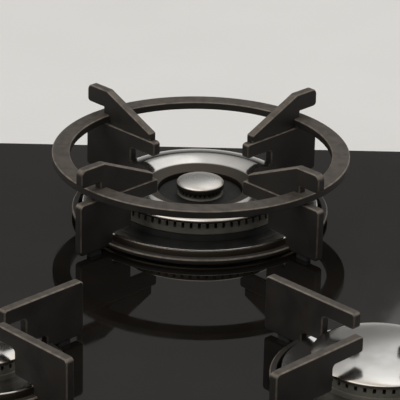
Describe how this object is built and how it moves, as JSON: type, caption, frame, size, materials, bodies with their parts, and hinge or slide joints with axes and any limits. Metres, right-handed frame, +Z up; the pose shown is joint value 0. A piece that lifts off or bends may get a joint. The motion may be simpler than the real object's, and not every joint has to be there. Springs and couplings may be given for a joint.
{
  "type": "gas cooktop",
  "caption": "Built-in glass-top gas hob with a large wok burner and removable wok ring, a rear and a front burner on cast supports, and push-and-turn knobs in a side column.",
  "frame": {"origin": "centre of the underside of the base tray, on the plane where the hob stands when it is out of the worktop", "axes": "+Z up, +X to the user's right, +Y to the back of the hob"},
  "size_m": [0.59, 0.52, 0.129],
  "materials": {
    "black_glass": "polished",
    "cast_iron": "matt enamel",
    "polished_steel": "polished",
    "enamel_black": "satin enamel",
    "crown_alloy": "satin, heat-darkened",
    "cast_aluminium": "as cast",
    "aluminium_tube": "drawn",
    "tray_steel": "galvanised",
    "zinc_steel": "zinc plated",
    "brass": "machined",
    "seal_foam": "closed-cell",
    "rubber": "matt",
    "knob_black": "satin",
    "plastic_grey": "moulded",
    "ceramic": "glazed",
    "copper": "drawn",
    "spring_steel": "bright"
  },
  "bodies": {
    "hob": {"glass_top": "black_glass", "worktop_seal": "seal_foam", "base_tray": "tray_steel", "burner_rails": "zinc_steel", "clamp_clips": "zinc_steel", "fixing_screws": "zinc_steel", "gas_manifold": "zinc_steel", "gas_inlet_elbow": "brass", "ignition_module": "plastic_grey", "cable_gland": "plastic_grey", "wok_outer_pipe": "aluminium_tube", "wok_inner_pipe": "aluminium_tube", "rear_pipe": "aluminium_tube", "front_pipe": "aluminium_tube", "wok_base": "enamel_black", "wok_outer_crown": "crown_alloy", "wok_outer_cap": "polished_steel", "wok_inner_crown": "crown_alloy", "wok_inner_cap": "polished_steel", "wok_ring": "cast_iron", "support_feet": "rubber", "knob_bezels": "rubber", "rear_crown": "crown_alloy", "rear_cap": "polished_steel", "front_crown": "crown_alloy", "front_cap": "polished_steel", "wok_cup": "cast_aluminium", "wok_injectors": "brass", "wok_dish": "polished_steel", "wok_electrode": "ceramic", "wok_thermocouple": "copper", "wok_pan_support": "cast_iron", "wok_valve_body": "brass", "rear_cup": "cast_aluminium", "rear_injector": "brass", "rear_dish": "polished_steel", "rear_electrode": "ceramic", "rear_thermocouple": "copper", "rear_pan_support": "cast_iron", "rear_valve_body": "brass", "front_cup": "cast_aluminium", "front_injector": "brass", "front_dish": "polished_steel", "front_electrode": "ceramic", "front_thermocouple": "copper", "front_pan_support": "cast_iron", "front_valve_body": "brass"},
    "wok_tap_plug": {"wok_valve_plug": "brass", "wok_return_spring": "spring_steel"},
    "wok_knob_and_spindle": {"wok_knob": "knob_black", "wok_spindle": "zinc_steel"},
    "rear_tap_plug": {"rear_valve_plug": "brass", "rear_return_spring": "spring_steel"},
    "rear_knob_and_spindle": {"rear_knob": "knob_black", "rear_spindle": "zinc_steel"},
    "front_tap_plug": {"front_valve_plug": "brass", "front_return_spring": "spring_steel"},
    "front_knob_and_spindle": {"front_knob": "knob_black", "front_spindle": "zinc_steel"}
  },
  "joints": [
    {"name": "wok_knob_turn", "type": "hinge", "parent": "hob", "child": "wok_tap_plug", "pos_m": [0.243, -0.066, 0.026], "axis": [0, 0, 1], "range_deg": [0, 270]},
    {"name": "wok_knob_push", "type": "slide", "parent": "wok_tap_plug", "child": "wok_knob_and_spindle", "axis": [0, 0, -1], "range_m": [0, 0.0035], "stiffness_N_per_m": 1500, "springref_m": -0.003, "deforming": ["wok_return_spring"]},
    {"name": "rear_knob_turn", "type": "hinge", "parent": "hob", "child": "rear_tap_plug", "pos_m": [0.243, 0, 0.026], "axis": [0, 0, 1], "range_deg": [0, 210]},
    {"name": "rear_knob_push", "type": "slide", "parent": "rear_tap_plug", "child": "rear_knob_and_spindle", "axis": [0, 0, -1], "range_m": [0, 0.0035], "stiffness_N_per_m": 1500, "springref_m": -0.003, "deforming": ["rear_return_spring"]},
    {"name": "front_knob_turn", "type": "hinge", "parent": "hob", "child": "front_tap_plug", "pos_m": [0.243, -0.132, 0.026], "axis": [0, 0, 1], "range_deg": [0, 210]},
    {"name": "front_knob_push", "type": "slide", "parent": "front_tap_plug", "child": "front_knob_and_spindle", "axis": [0, 0, -1], "range_m": [0, 0.0035], "stiffness_N_per_m": 1500, "springref_m": -0.003, "deforming": ["front_return_spring"]}
  ]
}
